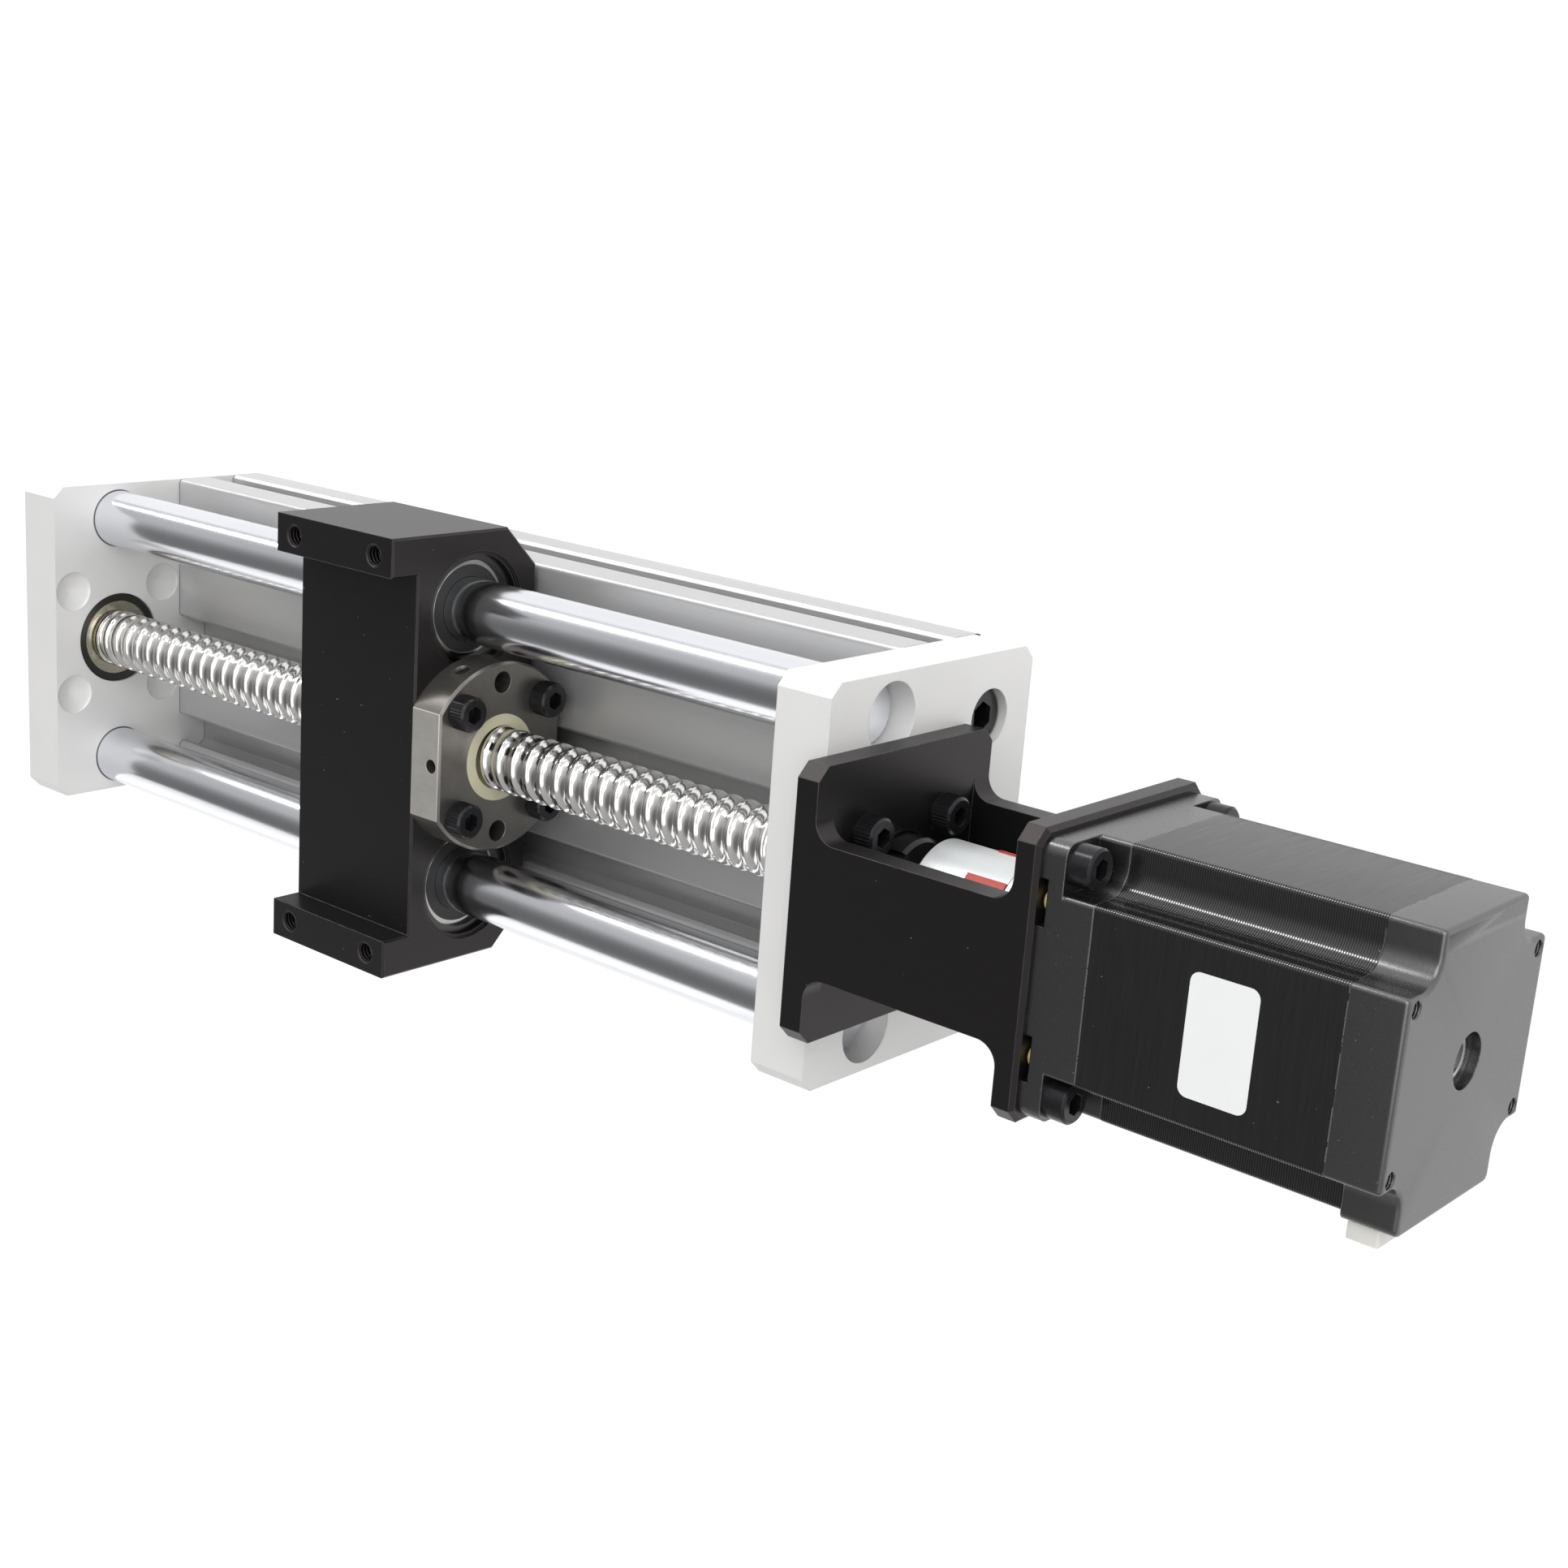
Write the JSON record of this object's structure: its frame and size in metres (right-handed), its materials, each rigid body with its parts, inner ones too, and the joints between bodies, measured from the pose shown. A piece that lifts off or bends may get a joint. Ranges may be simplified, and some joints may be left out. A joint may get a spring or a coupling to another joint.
{
  "type": "double shaft linear module",
  "caption": "Ball screw linear module: carriage on round guide rods between end plates, slotted aluminium base, stepping motor on a bracket with a jaw coupling.",
  "frame": {"origin": "centre of the base's underside, halfway between the end plates", "axes": "+X along the travel from the idle end to the motor, +Z from the base to the carriage's mounting face, +Y to the left seen from the idle end"},
  "size_m": [0.43, 0.11, 0.081],
  "materials": {
    "base_aluminium": "satin extruded aluminium, clear anodised",
    "plate_aluminium": "fine matte blasted aluminium, clear anodised",
    "black_anodised": "satin black anodised aluminium",
    "hard_chrome": "ground and hard chromed steel",
    "ground_steel": "ground hardened steel",
    "nut_steel": "ground alloy steel, satin",
    "bearing_steel": "ground bearing steel",
    "dark_steel": "black oxide on steel",
    "black_oxide": "black oxide, slightly glossy",
    "shield_brass": "yellow passivated sheet steel",
    "coupling_aluminium": "bright turned aluminium",
    "spider_red": "translucent red polyurethane",
    "motor_cover": "satin die-cast aluminium with a dark clear coat",
    "motor_laminations": "stacked electrical steel sheets, dark coated",
    "winding_copper": "enamelled copper wire",
    "motor_steel": "ground steel",
    "zinc_yellow": "yellow zinc plating",
    "white_nylon": "white moulded nylon",
    "tinned_brass": "tinned brass",
    "cage_resin": "moulded resin",
    "seal_rubber": "black moulded rubber",
    "wiper_white": "white moulded resin"
  },
  "bodies": {
    "frame": {"base_profile": "base_aluminium", "end_plate_idle": "plate_aluminium", "end_plate_motor": "plate_aluminium", "profile_bolts_idle": "black_oxide", "profile_bolts_motor": "black_oxide", "guide_rod_left": "hard_chrome", "guide_rod_right": "hard_chrome", "idle_bearing_outer_ring": "dark_steel", "idle_bearing_shields": "shield_brass", "fixed_bearing_inboard_outer_ring": "bearing_steel", "fixed_bearing_outboard_outer_ring": "bearing_steel", "motor_bracket": "black_anodised", "bracket_screws": "black_oxide", "motor_front_cover": "motor_cover", "motor_stator": "motor_laminations", "motor_coils": "winding_copper", "motor_rear_cover": "motor_cover", "motor_connector": "white_nylon", "motor_connector_pins": "tinned_brass", "motor_tie_screws": "zinc_yellow", "motor_mount_screws": "black_oxide", "motor_front_bearing_outer_ring": "bearing_steel", "motor_rear_bearing_outer_ring": "bearing_steel"},
    "screw": {"ball_screw": "ground_steel", "idle_bearing_inner_ring": "bearing_steel", "idle_bearing_balls": "bearing_steel", "idle_snap_ring": "black_oxide", "fixed_bearing_inboard_inner_ring": "bearing_steel", "fixed_bearing_inboard_balls": "bearing_steel", "fixed_bearing_outboard_inner_ring": "bearing_steel", "fixed_bearing_outboard_balls": "bearing_steel", "lock_nut": "black_oxide", "coupling_hub_screw": "coupling_aluminium", "coupling_hub_motor": "coupling_aluminium", "coupling_spider": "spider_red", "coupling_set_screws": "black_oxide", "motor_shaft": "motor_steel", "motor_rotor": "motor_laminations", "motor_front_bearing_inner_ring": "bearing_steel", "motor_front_bearing_balls": "bearing_steel", "motor_rear_bearing_inner_ring": "bearing_steel", "motor_rear_bearing_balls": "bearing_steel"},
    "carriage": {"carriage_block": "black_anodised", "linear_bearing_left_shell": "bearing_steel", "linear_bearing_left_cage": "cage_resin", "linear_bearing_left_seals": "seal_rubber", "linear_bearing_left_retaining_rings": "dark_steel", "linear_bearing_right_shell": "bearing_steel", "linear_bearing_right_cage": "cage_resin", "linear_bearing_right_seals": "seal_rubber", "linear_bearing_right_retaining_rings": "dark_steel", "ball_nut": "nut_steel", "oil_plug": "bearing_steel", "nut_wipers": "wiper_white", "nut_screws": "black_oxide"}
  },
  "joints": [
    {"name": "screw_turn", "type": "hinge", "parent": "frame", "child": "screw", "pos_m": [0, 0, 0.051], "axis": [1, 0, 0], "range_deg": [-6840, 7560]},
    {"name": "carriage_slide", "type": "slide", "parent": "frame", "child": "carriage", "axis": [1, 0, 0], "range_m": [-0.105, 0.095]}
  ],
  "couplings": [
    {"joint": "carriage_slide", "follows": "screw_turn", "m_per_rad": -0.00079577}
  ]
}
